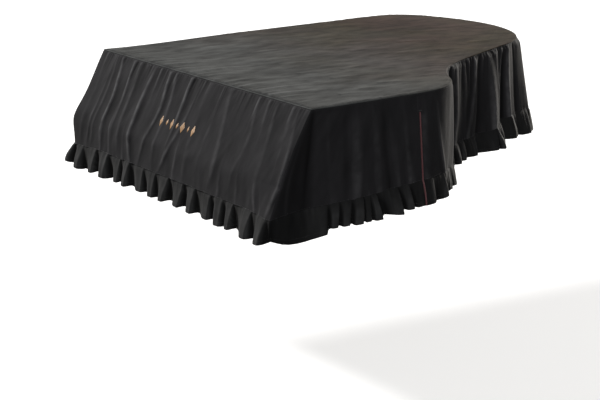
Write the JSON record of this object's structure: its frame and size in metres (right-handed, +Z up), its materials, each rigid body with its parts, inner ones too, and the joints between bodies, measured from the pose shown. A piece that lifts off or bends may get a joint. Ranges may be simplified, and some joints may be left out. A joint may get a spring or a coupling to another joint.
{
  "type": "fitted grand piano cover",
  "caption": "Fitted charcoal cloth cover for a grand piano, hanging with a sloped front, a pleated frill and a piped side vent.",
  "frame": {"origin": "on the underside of the flat top, midway between the straight spine side and the cheek side, 0.6 m behind the front edge of the top", "axes": "+X to the player's right (the cheek side), +Y to the tail, +Z up"},
  "size_m": [1.6075, 1.8429, 0.4405],
  "materials": {
    "cover_cloth": "soft brushed cotton, charcoal, dull with a faint bloom",
    "frill_cloth": "the same charcoal cloth, pleated",
    "piping": "dark red satin piping"
  },
  "bodies": {
    "root": {"top_panel": "cover_cloth", "front_panel": "cover_cloth", "cheek_panel": "cover_cloth", "rear_panel": "cover_cloth", "spine_panel": "cover_cloth", "spine_frill": "frill_cloth", "front_frill": "frill_cloth", "rear_frill": "frill_cloth", "vent_piping": "piping"}
  },
  "joints": []
}
